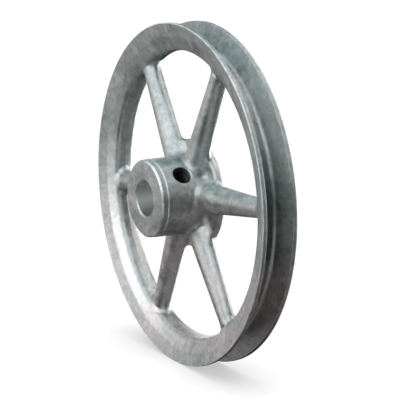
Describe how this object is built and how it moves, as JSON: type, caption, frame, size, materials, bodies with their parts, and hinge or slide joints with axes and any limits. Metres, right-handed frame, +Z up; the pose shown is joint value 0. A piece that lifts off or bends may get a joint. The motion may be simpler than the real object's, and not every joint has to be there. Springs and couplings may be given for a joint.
{
  "type": "v belt pulley",
  "caption": "Single-groove V-belt pulley, one-piece die casting with round spokes and a long hub, held on its shaft by a set screw.",
  "frame": {"origin": "on the bore's axis, at the rim's mid-plane", "axes": "Y is the pulley's axis of rotation and -Y is the side that the long end of the hub points to; +Z is up; the set screw is in the +X +Z quadrant"},
  "size_m": [0.1524, 0.0312, 0.1524],
  "materials": {
    "cast_metal": "as-cast satin, turned groove",
    "black_steel": "black oxide"
  },
  "bodies": {
    "casting": {"pulley_casting": "cast_metal"},
    "screw": {"set_screw": "black_steel"}
  },
  "joints": [
    {"name": "set_screw_travel", "type": "slide", "parent": "casting", "child": "screw", "axis": [0.7314, 0, 0.682], "range_m": [-0.00141, 0.00988]}
  ]
}
